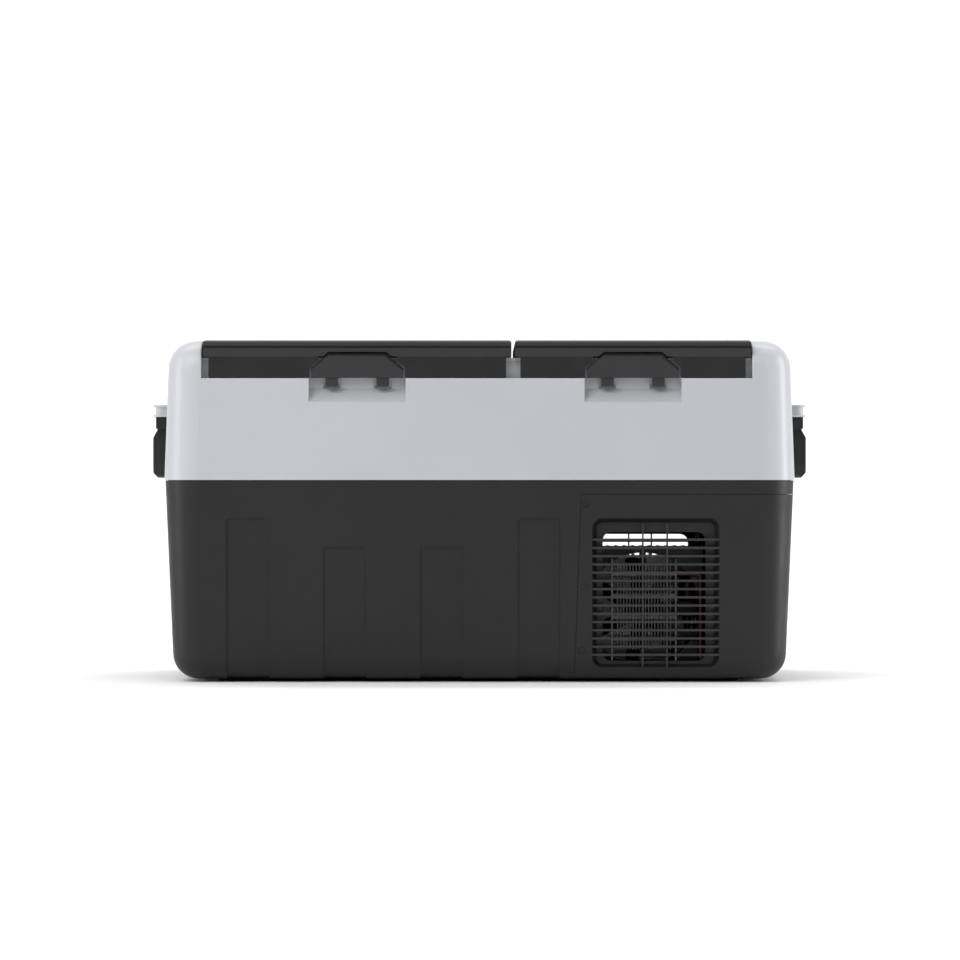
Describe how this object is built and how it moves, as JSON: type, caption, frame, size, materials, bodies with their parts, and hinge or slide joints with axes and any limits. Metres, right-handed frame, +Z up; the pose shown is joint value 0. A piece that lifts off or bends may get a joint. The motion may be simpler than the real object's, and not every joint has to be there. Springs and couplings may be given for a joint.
{
  "type": "compressor cooler fridge",
  "caption": "Portable compressor cooler box with deep and shallow compartments under separate latched lids, grilled machine bay and folding end handles.",
  "frame": {"origin": "centre of the footprint on the floor, under the feet", "axes": "+X along the box to the right as the user faces the latches, +Y away from the user towards the hinges, +Z up"},
  "size_m": [0.6916, 0.346, 0.356],
  "materials": {
    "shell_light": "satin",
    "shell_dark": "fine grain",
    "lid_dark": "satin",
    "trim_black": "matte",
    "liner_light": "satin",
    "foam": "rigid foam",
    "seal_rubber": "soft",
    "steel_dark": "gloss paint",
    "copper": "drawn tube",
    "aluminium": "rolled",
    "steel": "zinc plated",
    "screen": "tinted",
    "key_plastic": "soft touch",
    "lens": "frosted"
  },
  "bodies": {
    "housing": {"upper_shell": "shell_light", "lower_shell": "shell_dark", "service_cover": "shell_dark", "front_grille": "shell_dark", "rear_grille": "shell_dark", "cover_screws": "steel", "liner_deck": "liner_light", "evaporator_plates": "aluminium", "insulation_foam": "foam", "interior_lamp": "lens", "base_tray": "steel", "rubber_feet": "seal_rubber", "compressor_grommets": "seal_rubber", "compressor": "steel_dark", "condenser": "aluminium", "fan_shroud": "trim_black", "compressor_driver": "aluminium", "filter_drier": "copper", "refrigerant_tubes": "copper", "dc_socket": "trim_black", "control_panel": "trim_black", "display_window": "screen", "left_tub": "liner_light", "right_tub": "liner_light", "left_handle_bracket": "trim_black", "left_handle_pins": "steel", "left_handle_stop": "seal_rubber", "right_handle_bracket": "trim_black", "right_handle_pins": "steel", "right_handle_stop": "seal_rubber"},
    "fan": {"fan_rotor": "trim_black"},
    "key_power_cap": {"key_power": "key_plastic"},
    "key_set_cap": {"key_set": "key_plastic"},
    "key_down_cap": {"key_down": "key_plastic"},
    "key_up_cap": {"key_up": "key_plastic"},
    "left_lid": {"left_lid_outer": "lid_dark", "left_lid_inner": "liner_light", "left_lid_foam": "foam", "left_lid_gasket": "seal_rubber", "left_hinge_pins": "steel", "left_latch_pin": "steel"},
    "left_lid_latch": {"left_latch": "lid_dark"},
    "left_bail": {"left_handle": "trim_black"},
    "right_lid": {"right_lid_outer": "lid_dark", "right_lid_inner": "liner_light", "right_lid_foam": "foam", "right_lid_gasket": "seal_rubber", "right_hinge_pins": "steel", "right_latch_pin": "steel"},
    "right_lid_latch": {"right_latch": "lid_dark"},
    "right_bail": {"right_handle": "trim_black"}
  },
  "joints": [
    {"name": "left_lid_hinge", "type": "hinge", "parent": "housing", "child": "left_lid", "pos_m": [-0.12715, 0.16, 0.3475], "axis": [-1, 0, 0], "range_deg": [0, 95]},
    {"name": "left_latch_pivot", "type": "hinge", "parent": "left_lid", "child": "left_lid_latch", "pos_m": [-0.12715, -0.1606, 0.3386], "axis": [-1, 0, 0], "range_deg": [0, 17], "stiffness_Nm_per_rad": 0.05},
    {"name": "right_lid_hinge", "type": "hinge", "parent": "housing", "child": "right_lid", "pos_m": [0.15955, 0.16, 0.3475], "axis": [-1, 0, 0], "range_deg": [0, 95]},
    {"name": "right_latch_pivot", "type": "hinge", "parent": "right_lid", "child": "right_lid_latch", "pos_m": [0.15955, -0.1606, 0.3386], "axis": [-1, 0, 0], "range_deg": [0, 17], "stiffness_Nm_per_rad": 0.05},
    {"name": "left_handle_swing", "type": "hinge", "parent": "housing", "child": "left_bail", "pos_m": [-0.336, 0, 0.2706], "axis": [0, 1, 0], "range_deg": [0, 90]},
    {"name": "right_handle_swing", "type": "hinge", "parent": "housing", "child": "right_bail", "pos_m": [0.336, 0, 0.2706], "axis": [0, -1, 0], "range_deg": [0, 90]},
    {"name": "fan_spin", "type": "hinge", "parent": "housing", "child": "fan", "pos_m": [0.172, -0.1, 0.075], "axis": [0, 1, 0], "continuous": true},
    {"name": "key_power_press", "type": "slide", "parent": "housing", "child": "key_power_cap", "axis": [-0.9993, 0, -0.0366], "range_m": [0, 0.0006], "stiffness_N_per_m": 800},
    {"name": "key_set_press", "type": "slide", "parent": "housing", "child": "key_set_cap", "axis": [-0.9993, 0, -0.0366], "range_m": [0, 0.0006], "stiffness_N_per_m": 800},
    {"name": "key_down_press", "type": "slide", "parent": "housing", "child": "key_down_cap", "axis": [-0.9993, 0, -0.0366], "range_m": [0, 0.0006], "stiffness_N_per_m": 800},
    {"name": "key_up_press", "type": "slide", "parent": "housing", "child": "key_up_cap", "axis": [-0.9993, 0, -0.0366], "range_m": [0, 0.0006], "stiffness_N_per_m": 800}
  ]
}
